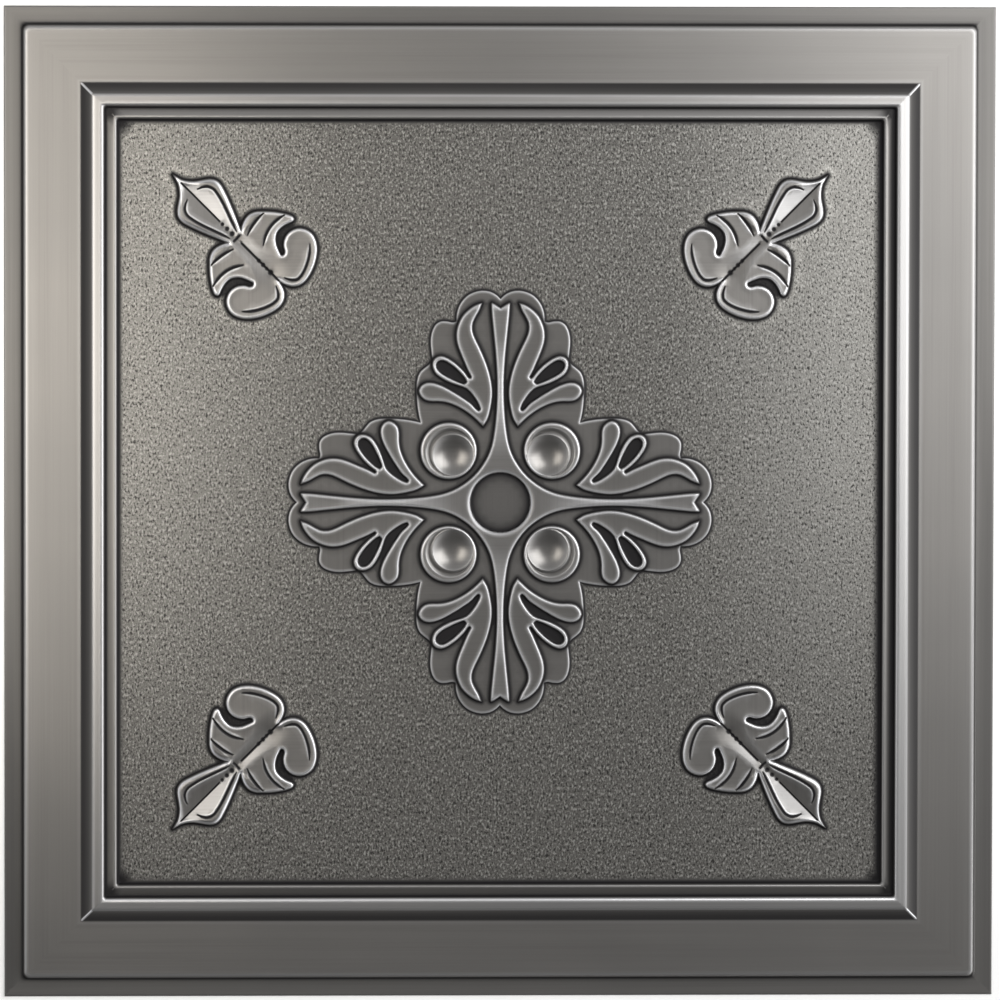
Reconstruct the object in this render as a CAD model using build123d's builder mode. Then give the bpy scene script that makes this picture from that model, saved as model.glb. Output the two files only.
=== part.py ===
from build123d import *
import math
import os

# One square lay-in ceiling tile, formed from a single sheet of rigid vinyl.
# Millimetres. The tile lies on its back with the decorated face up: +Z is the face,
# z = 0 is the back of the lip, the origin is the middle of the square.

# ---------------------------------------------------------------- driving dimensions
TILE = 603.25          # outside of the lip, 23 3/4 in square
T = 0.8                # sheet thickness

# frame: half-widths from the middle and heights of the face
BAND_FOOT = 290.5      # foot of the step where the panel rises off the lip
BAND_EDGE = 289.7      # the same wall at the top of the band
BAND_R = 3.6           # plan radius of the band's corners
BAND_ROUND = 1.6       # rounding along the band's outer edge
Z_BAND = 6.5           # flat band
SLOPE_FOOT = 254.8     # mitred slope that rises off the band
SLOPE_TOP = 248.25
Z_SLOPE = 10.5
CREST = 246.9          # narrow easing onto the bead's flat
Z_BEAD = 11.0          # highest level of the tile
BEAD_IN = 241.9        # inner edge of the bead's flat
BEAD_EASE = 240.95
BEAD_FOOT = 240.25      # foot of the drop inside the bead
Z_STEP = 5.6           # low line between bead and inner fillet
FILLET_TOP = 234.8     # the inner fillet strip rises to this line
Z_FILLET = 6.9
FIELD_EASE = 234.0     # rounded inner edge of the strip
FIELD_FOOT = 232.4     # foot of the last drop, edge of the field
Z_FIELD = 2.0          # the stippled field
PLAN_R = 1.6           # plan radius of the inner corners

# centre medallion, heights above the field
H_PLATE = 1.5          # low lobed plate
H_LEAF = 4.2           # leaves and their loops
H_STAR = 4.5           # four-armed star with its ring
H_CUP = 4.4            # round cups on the diagonals
HUB_R = 18.2
CUP_AT = 31.5          # cups sit on the diagonals, x = y
CUP_R = 17.3
CUP_EASE = 15.9
CUP_STEP = 14.6
CUP_STEP_AT = 30.4
BOWL_AT = 28.9
BOWL_R = 12.4
BOWL_DEPTH = 2.4
EDGE = 0.55            # easing along the raised edges

# corner ornaments, heights above the field
H_ORN = 3.4
GROOVE_W = 1.3
GROOVE_D = 1.0

# ---------------------------------------------------------------- outlines (x right, y up)
# lobed plate, from the +Y axis to the diagonal
PLATE = [
    [(0, 124.0), (2, 126.0), (5, 127.9), (8, 128.8), (12, 129.0), (16.5, 127.9), (20, 126.1),
     (23, 123.2), (25.4, 119.3), (26.7, 115), (27, 111.6), (26.9, 110.2)],
    [(26.9, 110.2), (29, 109.7), (33, 110.4), (36.5, 110.2), (39.4, 108.4), (41.3, 105.3),
     (42.4, 101), (42.6, 97), (42.2, 92.5), (41.6, 86.6)],
    [(41.6, 86.6), (43.3, 84.2), (46.2, 81.9), (48.8, 79.5), (50.3, 76.5), (51, 73), (51.2, 69),
     (51.0, 64), (50.5, 58), (49.7, 53), (48.7, 48.7)],
]
# one of the eight leaves, right of the +Y axis
LEAF = [
    [(10.6, 46.4), (7.9, 50.5), (6.5, 55), (5.5, 60), (4.9, 65), (5.0, 70), (6.1, 76.5),
     (8.1, 83.4), (10.5, 89.5), (13, 95), (15, 99), (16.7, 103.2), (17.2, 106.5), (16.8, 109.5),
     (15, 113.3), (12.9, 117), (11.3, 121.4)],
    [(11.3, 121.4), (14.5, 120.6), (17.7, 118.8), (20.9, 116.2), (23.5, 113.2), (25.4, 109.4),
     (26.7, 105.2), (27, 101), (26.5, 97.2), (25.2, 93), (23.6, 89), (21.9, 85), (20.2, 81),
     (18.6, 77.9), (17.9, 76.4), (18.6, 75.7), (19.8, 76.5), (21.4, 78.9), (23.9, 81.6),
     (26.4, 84.0), (29.5, 86.3), (32.6, 88.2), (36.2, 89.3), (39.2, 88.4), (41, 86.4),
     (41.5, 83.8), (40.9, 81), (39.3, 78.3), (36.6, 76.1), (33.5, 74.3), (30.3, 72.8),
     (26.3, 71.3), (23.3, 70.5), (20.6, 69.3), (18, 66.9), (15.8, 64), (13.9, 61), (12.6, 58.2),
     (12.4, 56.7), (13.3, 56.0), (14.6, 56.8), (17.5, 60.0), (21.5, 62.9), (25.5, 65.5),
     (29.5, 67.9), (33.6, 70.2), (37.7, 72), (42, 73.1), (45.6, 72.8), (48.5, 70.9), (49.7, 68),
     (48.6, 64.9), (46, 62.5), (42.6, 61.6), (38, 61.6), (33.2, 61), (28.3, 59.4), (24, 57.3),
     (19.6, 54.5), (15.7, 51.4), (12.9, 48.7), (10.6, 46.4)],
]
# hole in the leaf's middle loop
EYE = [
    [(20.6, 73.6), (21.6, 75.6), (23.4, 77.8), (26, 80.5), (29, 83.1), (32, 85.2), (35, 86.5),
     (37.5, 86.1), (39, 84.4), (38.8, 82), (37.3, 79.8), (34.8, 77.9), (31.5, 76.1), (28, 74.4),
     (24.5, 73.0), (22, 72.3), (20.6, 73.6)],
]
# star, half of the +Y arm and an eighth of the ring
STAR = [
    [(0, 118.5), (2.4, 120.0), (4.4, 121.3), (5.4, 121.5), (5.8, 120.8)],
    [(5.8, 120.8), (5.5, 115), (5.0, 110), (4.5, 105), (4.0, 100), (3.5, 95), (3.05, 90),
     (2.7, 85), (2.4, 80), (2.2, 75), (2.15, 70), (2.2, 65), (2.4, 59), (2.8, 53), (3.3, 47.5),
     (4.0, 42), (5.0, 36.5), (6.3, 32), (8.2, 27.5), (10.6, 23.4), (13.5, 19.4), (16.3, 16.3)],
]
# fleur-de-lis, the half above the diagonal of the (+X, +Y) corner
SPEAR = [
    [(160.0, 160.0), (157.9, 165.6)],
    [(157.9, 165.6), (159.2, 169.3), (161.5, 175), (164.3, 181.8), (167.3, 188.3),
     (170.4, 193.8), (173.5, 196.2), (177, 196.8), (182, 196.0), (186.5, 195.3), (191, 195.6),
     (194.2, 196.45), (196.9, 197.95), (199.2, 199.2)],
]
WING = [
    [(161.5, 161.5), (157.9, 165.6)],
    [(157.9, 165.6), (157.4, 168.5), (155.8, 172.2), (153, 175.3), (149, 177.0), (144.5, 177.2),
     (139, 177.0), (134, 176.3), (129.5, 175.3), (126.4, 173.9), (125.6, 172.1), (126.8, 170.6),
     (130, 169.3), (133.3, 167.2), (135.8, 164.3), (136.7, 160.8), (136.3, 157),
     (134.9, 153.4), (133.4, 150.6), (132.0, 150.9), (131.4, 152.6), (132.2, 156.2),
     (131.7, 160), (129.7, 163.6), (126.3, 166.1), (122.2, 167.0), (118, 166.0),
     (114.3, 163.2), (112.2, 159), (111.5, 154), (112.1, 148.7), (113.7, 143.3),
     (116.2, 138.2), (119.2, 134.2), (122.8, 131.9), (126.8, 131.3), (130.7, 132.3),
     (134.8, 134.8)],
]
# engraved lines on the fleur-de-lis, above the diagonal
GROOVES = [
    [(184.0, 190.6), (181.3, 191.7), (178, 192.1), (174.6, 190.6), (171.8, 187), (168.9, 182),
     (165.7, 175.4), (162.9, 169.4), (160.7, 165.0)],
    [(131.6, 174.9), (134.8, 172.9), (138.2, 170.0), (141.1, 166.3), (143.2, 161.9), (144.4, 156.6)],
    [(144.4, 175.9), (147.2, 173.4), (150.0, 169.9), (152.2, 166.6), (153.9, 162.8)],
    [(116.1, 157), (116.2, 152.3), (117.3, 147), (119.2, 141.7), (121.6, 137.6), (124.0, 135.6),
     (127, 135.3), (131.4, 136.5)],
]
DOTS = [(168.7, 0.75), (165.9, 0.85), (162.9, 1.0), (160.2, 1.2)]   # along the diagonal


# the same reliefs seen from behind, drawn in by the sheet; the finest lines do not print through
PLATE_BACK = [
    [(0, 122.8), (2.5, 125.2), (5.5, 127.0), (8.3, 127.9), (12, 128.1), (16.2, 127.0),
     (19.5, 125.3), (22.3, 122.6), (24.5, 118.9), (25.8, 114.8), (26.1, 111.6), (26.0, 109.6)],
    [(26.0, 109.6), (29, 108.8), (33, 109.5), (36.2, 109.3), (38.7, 107.7), (40.5, 104.9),
     (41.5, 100.9), (41.7, 97), (41.3, 92.5), (40.7, 86.2)],
    [(40.7, 86.2), (42.6, 83.6), (45.6, 81.2), (48.1, 78.9), (49.4, 76.2), (50.1, 72.9),
     (50.3, 69), (50.1, 64), (49.6, 58.2), (48.9, 53.5), (47.6, 47.6)],
]
LEAF_BACK = [
    [(10.6, 48.5), (8.8, 50.9), (7.5, 55), (6.5, 60), (5.9, 65), (6.0, 69.8), (7.1, 76.2),
     (9.0, 83), (11.4, 89.1), (13.9, 94.6), (15.9, 98.6), (17.6, 102.9), (18.2, 106.5),
     (17.7, 109.8), (16.2, 113.2), (14.4, 116.8), (13.5, 119.4)],
    [(13.5, 119.4), (16.8, 117.6), (20.1, 115.2), (22.6, 112.4), (24.4, 108.8), (25.7, 105),
     (26, 101.2), (25.5, 97.5), (24.2, 93.4), (22.7, 89.5), (21, 85.5), (19.2, 81.3),
     (17.5, 78), (16.6, 75.5), (17.3, 71.5), (17.2, 67.5), (15, 64.6), (13, 61.4),
     (11.6, 58.3), (11.6, 56.1), (13.1, 55.0), (15, 55.8), (18, 58.9), (22.1, 62), (26, 64.6),
     (30, 67), (34, 69.2), (38.1, 71), (42.1, 72.1), (45.3, 71.8), (47.7, 70.2), (48.6, 68),
     (47.8, 65.5), (45.6, 63.4), (42.5, 62.6), (38, 62.6), (33, 62), (27.8, 60.3),
     (23.5, 58.2), (19, 55.3), (15, 52.1), (12.4, 50), (10.6, 48.5)],
]
STAR_BACK = [
    [(0, 117.4), (4.6, 120.0)],
    [(4.6, 120.0), (4.55, 115), (4.05, 110), (3.55, 105), (3.05, 100), (2.6, 95), (2.15, 90),
     (1.8, 85), (1.5, 80), (1.3, 75), (1.25, 70), (1.3, 65), (1.5, 59), (1.9, 53), (2.4, 47.4),
     (3.1, 41.9), (4.1, 36.2), (5.4, 31.6), (7.4, 27), (9.9, 22.8), (12.9, 18.8), (15.6, 15.6)],
]
SPEAR_BACK = [
    [(161.2, 161.2), (158.9, 165.7)],
    [(158.9, 165.7), (160.1, 169), (162.4, 174.6), (165.2, 181.4), (168.2, 187.9), (171, 193),
     (173.8, 195.2), (177, 195.8), (182, 195.1), (186.5, 194.4), (191, 194.5), (193.8, 195.0),
     (196.0, 196.0)],
]
WING_BACK = [
    [(161.0, 161.0), (157.0, 165.8)],
    [(157.0, 165.8), (156.5, 168.2), (155, 171.7), (152.5, 174.5), (148.8, 176.1),
     (144.5, 176.3), (139, 176.1), (134.1, 175.4), (129.8, 174.5), (127.1, 173.3),
     (126.7, 172.3), (127.3, 171.4), (130.4, 170.2), (134, 168), (136.7, 164.7),
     (137.6, 160.8), (137.2, 156.8), (135.8, 153.1), (134, 149.9), (131.6, 149.9),
     (130.4, 152.5), (131.3, 156.3), (130.8, 159.7), (129, 162.9), (126, 165.2),
     (122.2, 166), (118.4, 165.1), (115, 162.5), (113.1, 158.6), (112.4, 153.9), (113, 148.8),
     (114.6, 143.6), (117, 138.7), (119.8, 135), (123.1, 132.8), (126.8, 132.2),
     (130.4, 133.2), (135.2, 135.2)],
]


# ---------------------------------------------------------------- helpers
def outline(*segments):
    """Face inside a closed outline; neighbouring segments meet at sharp corners."""
    with BuildSketch() as sk:
        with BuildLine():
            for seg in segments:
                if len(seg) == 2:
                    Line(*seg)
                else:
                    Spline(*seg)
        make_face()
    return sk.sketch


def flip(points):
    """Mirror image in the diagonal x = y, listed backwards."""
    return [(y, x) for x, y in reversed(points)]


def left_right(points):
    """Mirror image in the Y axis, listed backwards."""
    return [(-x, y) for x, y in reversed(points)]


def turn(points, quarter):
    c, s = [(1, 0), (0, 1), (-1, 0), (0, -1)][quarter]
    return [(c * x - s * y, s * x + c * y) for x, y in points]


def all_round(segments):
    """Closed outline with the symmetry of the square from one eighth of it."""
    loop = []
    for quarter in range(4):
        # the eighth right of the axis is walked backwards so that the loop runs anticlockwise
        for seg in reversed(segments):
            loop.append(turn(list(reversed(seg)), quarter))
        for seg in segments:
            loop.append(turn(left_right(list(reversed(seg))), quarter))
    return loop


def square(half, radius):
    if radius > 0:
        RectangleRounded(2 * half, 2 * half, radius)
    else:
        Rectangle(2 * half, 2 * half)


def frustum(z0, half0, z1, half1, radius=0.0):
    """Square block with flat sloping sides and level top and bottom."""
    with BuildPart() as block:
        with BuildSketch(Plane.XY.offset(z0)):
            square(half0, radius)
        with BuildSketch(Plane.XY.offset(z1)):
            square(half1, radius)
        loft(ruled=True)
    return block.part


def raised(face, z0, z1, ease=0.0):
    """Upright relief on an outline, its top edges eased."""
    with BuildPart() as block:
        with BuildSketch(Plane.XY.offset(z0)):
            add(face)
        extrude(amount=z1 - z0)
        if ease:
            chamfer(block.edges().group_by(Axis.Z)[-1], ease)
    return block.part


def groove(points, width):
    """Outline of an engraved line of even width that narrows at both ends."""
    left, right = [], []
    n = len(points)
    for i, (x, y) in enumerate(points):
        x0, y0 = points[max(i - 1, 0)]
        x1, y1 = points[min(i + 1, n - 1)]
        d = math.hypot(x1 - x0, y1 - y0)
        w = width / 2 * (0.45 if i in (0, n - 1) else 1.0)
        nx, ny = -(y1 - y0) / d * w, (x1 - x0) / d * w
        left.append((x + nx, y + ny))
        right.append((x - nx, y - ny))
    right.reverse()
    return outline(left, [left[-1], right[0]], right, [right[-1], left[0]])


def half_and_mirror(segments):
    """Closed figure symmetric about the diagonal, from the half above it."""
    half = outline(*segments, [segments[-1][-1], segments[0][0]])
    with BuildSketch() as sk:
        add(half)
        add(half.mirror(Plane(origin=(0, 0, 0), z_dir=(1, -1, 0))))
    return sk.sketch


def bead_block(drop):
    """Mitred slope and bead; drop = 0 for the face, the sheet's thickness for the hollow."""
    run = (SLOPE_FOOT - SLOPE_TOP) / (Z_SLOPE - Z_BAND)
    shift = drop / math.cos(math.atan2(1, run)) * run
    lean = drop * 0.6
    low = frustum(Z_BAND - drop, SLOPE_FOOT + drop * run - shift,
                  Z_SLOPE - drop, SLOPE_TOP + drop * run - shift)
    high = frustum(Z_SLOPE - drop, SLOPE_TOP + drop * run - shift,
                   Z_BEAD - drop, CREST - lean)
    return low + high


# ---------------------------------------------------------------- everything under the face
star_face = outline(*all_round(STAR)) - Pos(0, 0) * Circle(HUB_R)
Z_PLATE = Z_FIELD + H_PLATE

leaf = (raised(outline(*LEAF), Z_FIELD + 0.2, Z_FIELD + H_LEAF, EDGE)
        - raised(outline(*EYE), Z_PLATE, Z_FIELD + H_LEAF + 1.0))
leaf_pair = [leaf, leaf.mirror(Plane.YZ)]

with BuildPart() as cup:
    with BuildSketch(Plane.XY.offset(Z_FIELD + 0.2)):
        with Locations((CUP_AT, CUP_AT)):
            Circle(CUP_R)
    extrude(amount=H_CUP - 0.2)
    chamfer(cup.edges().group_by(Axis.Z)[-1], EDGE)
    top = Z_FIELD + H_CUP
    with BuildSketch(Plane.XY.offset(top)):
        with Locations((CUP_STEP_AT, CUP_STEP_AT)):
            Circle(CUP_STEP)
    extrude(amount=-1.1, mode=Mode.SUBTRACT)
    with Locations((BOWL_AT, BOWL_AT, top - 1.2)):
        Cone(BOWL_R + 0.9, BOWL_R + 0.35, 1.2, align=(Align.CENTER, Align.CENTER, Align.MIN))
    ball = (BOWL_R ** 2 + BOWL_DEPTH ** 2) / (2 * BOWL_DEPTH)
    with Locations((BOWL_AT, BOWL_AT, top - BOWL_DEPTH + ball)):
        Sphere(ball, mode=Mode.SUBTRACT)

fleur_face = half_and_mirror(SPEAR) + half_and_mirror(WING)
with BuildPart() as fleur:
    with BuildSketch(Plane.XY.offset(Z_FIELD - 0.2)):
        add(fleur_face)
    extrude(amount=H_ORN + 0.2)
    with BuildSketch(Plane.XY.offset(Z_FIELD + H_ORN)):
        for line in GROOVES:
            cut = groove(line, GROOVE_W)
            add(cut)
            add(cut.mirror(Plane(origin=(0, 0, 0), z_dir=(1, -1, 0))))
        for at, size in DOTS:
            with Locations((at, at)):
                Circle(size)
        for a, b, w in ((171.5, 193.0, 1.1), (139.6, 158.4, 1.5)):
            with Locations(Location(((a + b) / 2, (a + b) / 2, 0), (0, 0, 45))):
                SlotOverall((b - a) * math.sqrt(2), w)
        with Locations((139.9, 139.9)):
            Circle(1.3)
    extrude(amount=-GROOVE_D, mode=Mode.SUBTRACT)

with BuildPart() as front:
    with BuildSketch():
        Rectangle(TILE, TILE)
    extrude(amount=T)
    with BuildPart(mode=Mode.PRIVATE) as band:
        add(frustum(0, BAND_FOOT + 0.1, Z_BAND, BAND_EDGE, BAND_R))
        fillet(band.edges().group_by(Axis.Z)[-1], BAND_ROUND)
    add(band.part)
    add(bead_block(0.0))
    # inside the bead: down to the low line, up the strip, down to the field
    add(frustum(Z_BEAD + 1.0, BEAD_IN + 1.0, Z_BEAD - 0.9, BEAD_EASE, PLAN_R),
        mode=Mode.SUBTRACT)
    add(frustum(Z_BEAD, BEAD_EASE, Z_STEP, BEAD_FOOT, PLAN_R), mode=Mode.SUBTRACT)
    add(frustum(Z_STEP, BEAD_FOOT, Z_FILLET, FILLET_TOP, PLAN_R))
    add(frustum(Z_FILLET + 0.6, FILLET_TOP + 0.2, Z_FILLET - 0.7, FIELD_EASE - 0.5, PLAN_R),
        mode=Mode.SUBTRACT)
    add(frustum(Z_FILLET, FIELD_EASE - 0.4, Z_FIELD, FIELD_FOOT, PLAN_R), mode=Mode.SUBTRACT)
    # medallion
    add(raised(outline(*all_round(PLATE)), Z_FIELD - 0.2, Z_PLATE, EDGE))
    add(raised(star_face, Z_FIELD + 0.2, Z_FIELD + H_STAR))
    with PolarLocations(0, 4):
        add(leaf_pair[0])
        add(leaf_pair[1])
        add(cup.part)
        add(fleur.part)

# ---------------------------------------------------------------- hollow behind the face
crescent = (Pos(CUP_AT, CUP_AT, Z_FIELD) * Cylinder(CUP_R - 0.9, Z_FIELD + H_CUP - T - Z_FIELD,
            align=(Align.CENTER, Align.CENTER, Align.MIN))
            - Pos(BOWL_AT, BOWL_AT, Z_FIELD - 1) * Cylinder(BOWL_R + 2.9, 12,
            align=(Align.CENTER, Align.CENTER, Align.MIN)))
star_hollow = raised(outline(*all_round(STAR_BACK)) - Pos(0, 0) * Circle(HUB_R + 0.9),
                     Z_FIELD, Z_FIELD + H_STAR - T)
leaf_hollow = raised(outline(*LEAF_BACK), Z_FIELD, Z_FIELD + H_LEAF - T)
fleur_hollow = raised(half_and_mirror(SPEAR_BACK) + half_and_mirror(WING_BACK),
                      Z_FIELD - T - 0.2, Z_FIELD + H_ORN - GROOVE_D - T)

with BuildPart() as hollow:
    add(frustum(-1.0, BAND_FOOT - T, Z_BAND - T, BAND_EDGE - T, BAND_R - T))
    add(bead_block(T))
    add(frustum(Z_BEAD + 1.0, BEAD_EASE + T + 0.1, Z_STEP - T, BEAD_FOOT + T, PLAN_R + T),
        mode=Mode.SUBTRACT)
    add(frustum(Z_STEP - T, BEAD_FOOT - 0.3, Z_FILLET - T, FILLET_TOP, PLAN_R))
    add(frustum(Z_FILLET + 1.0, FIELD_EASE + T + 0.2, Z_FIELD - T, FIELD_FOOT + T, PLAN_R + T),
        mode=Mode.SUBTRACT)
    add(raised(outline(*all_round(PLATE_BACK)), Z_FIELD - T - 0.2, Z_PLATE - T))
    add(star_hollow)
    with PolarLocations(0, 4):
        add(leaf_hollow)
        add(leaf_hollow.mirror(Plane.YZ))
        add(crescent)
        add(fleur_hollow)

# ---------------------------------------------------------------- the tile
with BuildPart() as ceiling_tile:
    add(front.part)
    add(hollow.part, mode=Mode.SUBTRACT)

ceiling_tile.part.label = "ceiling_tile"
os.makedirs("parts", exist_ok=True)
export_step(ceiling_tile.part, "parts/ceiling_tile.step")
print("volume mm3", round(ceiling_tile.part.volume), "solids", len(ceiling_tile.part.solids()),
      "faces", len(ceiling_tile.part.faces()))
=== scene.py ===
import bpy, math
import numpy as np
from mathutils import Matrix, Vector
from mathutils.geometry import delaunay_2d_cdt


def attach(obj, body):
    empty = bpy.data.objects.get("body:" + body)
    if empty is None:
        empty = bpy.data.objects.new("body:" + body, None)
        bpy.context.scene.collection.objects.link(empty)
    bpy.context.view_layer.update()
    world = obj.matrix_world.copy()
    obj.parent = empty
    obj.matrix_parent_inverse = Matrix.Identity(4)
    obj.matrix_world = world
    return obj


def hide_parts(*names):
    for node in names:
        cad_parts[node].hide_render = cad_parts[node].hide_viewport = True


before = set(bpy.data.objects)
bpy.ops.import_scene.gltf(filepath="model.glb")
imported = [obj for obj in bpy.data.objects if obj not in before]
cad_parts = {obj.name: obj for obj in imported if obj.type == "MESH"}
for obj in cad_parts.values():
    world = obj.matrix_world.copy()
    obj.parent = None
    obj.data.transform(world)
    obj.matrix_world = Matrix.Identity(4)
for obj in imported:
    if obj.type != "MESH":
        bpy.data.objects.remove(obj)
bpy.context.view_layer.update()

# One formed vinyl sheet, drawn from one eighth of the square and repeated by its symmetry.
# Plan dimensions in millimetres from the tile's middle, the same outlines as the CAD part.
HALF = 603.25 / 2
T = 0.8
Z_FIELD, H_PLATE, H_LEAF, H_STAR, H_CUP, H_ORN = 2.0, 1.5, 4.2, 4.5, 4.4, 3.4
HUB_R = 18.2
CUP_AT, CUP_R = 31.5, 17.3
STEP_AT, STEP_R = 30.4, 14.6
BOWL_AT, BOWL_R, BOWL_DEPTH = 28.9, 12.4, 3.3

PLATE = [[(0, 124.0), (2, 126.0), (5, 127.9), (8, 128.8), (12, 129.0), (16.5, 127.9), (20, 126.1),
          (23, 123.2), (25.4, 119.3), (26.7, 115), (27, 111.6), (26.9, 110.2)],
         [(26.9, 110.2), (29, 109.7), (33, 110.4), (36.5, 110.2), (39.4, 108.4), (41.3, 105.3),
          (42.4, 101), (42.6, 97), (42.2, 92.5), (41.6, 86.6)],
         [(41.6, 86.6), (43.3, 84.2), (46.2, 81.9), (48.8, 79.5), (50.3, 76.5), (51, 73),
          (51.2, 69), (51.0, 64), (50.5, 58), (49.7, 53), (48.7, 48.7)]]
LEAF = [[(10.6, 46.4), (7.9, 50.5), (6.5, 55), (5.5, 60), (4.9, 65), (5.0, 70), (6.1, 76.5),
         (8.1, 83.4), (10.5, 89.5), (13, 95), (15, 99), (16.7, 103.2), (17.2, 106.5),
         (16.8, 109.5), (15, 113.3), (12.9, 117), (11.3, 121.4)],
        [(11.3, 121.4), (14.5, 120.6), (17.7, 118.8), (20.9, 116.2), (23.5, 113.2), (25.4, 109.4),
         (26.7, 105.2), (27, 101), (26.5, 97.2), (25.2, 93), (23.6, 89), (21.9, 85), (20.2, 81),
         (18.6, 77.9), (17.9, 76.4), (18.6, 75.7), (19.8, 76.5), (21.4, 78.9), (23.9, 81.6),
         (26.4, 84.0), (29.5, 86.3), (32.6, 88.2), (36.2, 89.3), (39.2, 88.4), (41, 86.4),
         (41.5, 83.8), (40.9, 81), (39.3, 78.3), (36.6, 76.1), (33.5, 74.3), (30.3, 72.8),
         (26.3, 71.3), (23.3, 70.5), (20.6, 69.3), (18, 66.9), (15.8, 64), (13.9, 61),
         (12.6, 58.2), (12.4, 56.7), (13.3, 56.0), (14.6, 56.8), (17.5, 60.0), (21.5, 62.9),
         (25.5, 65.5), (29.5, 67.9), (33.6, 70.2), (37.7, 72), (42, 73.1), (45.6, 72.8),
         (48.5, 70.9), (49.7, 68), (48.6, 64.9), (46, 62.5), (42.6, 61.6), (38, 61.6),
         (33.2, 61), (28.3, 59.4), (24, 57.3), (19.6, 54.5), (15.7, 51.4), (12.9, 48.7),
         (10.6, 46.4)]]
EYE = [[(20.6, 73.6), (21.6, 75.6), (23.4, 77.8), (26, 80.5), (29, 83.1), (32, 85.2), (35, 86.5),
        (37.5, 86.1), (39, 84.4), (38.8, 82), (37.3, 79.8), (34.8, 77.9), (31.5, 76.1),
        (28, 74.4), (24.5, 73.0), (22, 72.3), (20.6, 73.6)]]
SLOT = [(12.4, 56.7), (13.9, 61), (18, 66.9), (23.3, 70.5), (30.3, 72.8), (36, 75.8),
        (35.5, 71.2), (29.5, 67.9), (21.5, 62.9), (14.6, 56.8)]
STAR = [[(0, 118.5), (2.4, 120.0), (4.4, 121.3), (5.4, 121.5), (5.8, 120.8)],
        [(5.8, 120.8), (5.5, 115), (5.0, 110), (4.5, 105), (4.0, 100), (3.5, 95), (3.05, 90),
         (2.7, 85), (2.4, 80), (2.2, 75), (2.15, 70), (2.2, 65), (2.4, 59), (2.8, 53),
         (3.3, 47.5), (4.0, 42), (5.0, 36.5), (6.3, 32), (8.2, 27.5), (10.6, 23.4),
         (13.5, 19.4), (16.3, 16.3)]]
SPEAR = [[(157.9, 165.6), (159.2, 169.3), (161.5, 175), (164.3, 181.8), (167.3, 188.3),
          (170.4, 193.8), (173.5, 196.2), (177, 196.8), (182, 196.0), (186.5, 195.3),
          (191, 195.6), (194.2, 196.45), (196.9, 197.95), (199.2, 199.2)]]
WING = [[(157.9, 165.6), (157.4, 168.5), (155.8, 172.2), (153, 175.3), (149, 177.0),
         (144.5, 177.2), (139, 177.0), (134, 176.3), (129.5, 175.3), (126.4, 173.9),
         (125.6, 172.1), (126.8, 170.6), (130, 169.3), (133.3, 167.2), (135.8, 164.3),
         (136.7, 160.8), (136.3, 157), (134.9, 153.4), (133.4, 150.6), (132.0, 150.9),
         (131.4, 152.6), (132.2, 156.2), (131.7, 160), (129.7, 163.6), (126.3, 166.1),
         (122.2, 167.0), (118, 166.0), (114.3, 163.2), (112.2, 159), (111.5, 154),
         (112.1, 148.7), (113.7, 143.3), (116.2, 138.2), (119.2, 134.2), (122.8, 131.9),
         (126.8, 131.3), (130.7, 132.3), (134.8, 134.8)]]
# engraved lines: points, half-width, depth, and on which side of travel a rim stands, rubbed bright with a painted
# highlight
GROOVES = [
    ([(184.0, 190.6), (181.3, 191.7), (178, 192.1), (174.6, 190.6), (171.8, 187), (168.9, 182),
      (165.7, 175.4), (162.9, 169.4), (160.7, 165.0)], 0.85, 0.55, 0.85),
    ([(131.6, 174.9), (134.8, 172.9), (138.2, 170.0), (141.1, 166.3), (143.2, 161.9),
      (144.4, 156.6)], 0.95, 0.6, -1),
    ([(144.4, 175.9), (147.2, 173.4), (150.0, 169.9), (152.2, 166.6), (153.9, 162.8)],
     0.95, 0.6, -1),
    ([(116.1, 157), (116.2, 152.3), (117.3, 147), (119.2, 141.7), (121.6, 137.6),
      (124.0, 135.6), (127, 135.3), (131.4, 136.5)], 0.85, 0.55, 0.6),
    ([(171.0, 171.0), (194.2, 194.2)], 0.5, 0.5, 0),
    ([(135.2, 135.2), (157.6, 157.6)], 0.65, 0.5, 0),
    ([(158.9, 162.3), (160.5, 160.5)], 0.75, 0.5, 0),
]
DOTS = [(169.2, 1.0), (166.4, 1.2), (163.4, 1.35), (139.9, 1.5), (142.3, 0.95), (144.5, 1.2), (147.1, 1.15)]
NOTCH = [(126.4, 173.9), (130, 169.3), (133.3, 167.2), (135.8, 164.3), (136.7, 160.8), (134.9, 153.4),
         (133.4, 150.6), (132.0, 150.9), (132.2, 156.2), (131.7, 160), (129.7, 163.6), (126.3, 166.1),
         (124.4, 167.2), (124.9, 171.4)]
RIDGE = [(157.8, 164.5), (154, 160.0), (149.5, 155.8), (145, 152.5), (140, 150.4), (135, 149.2),
         (132.5, 149.1)]
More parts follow.
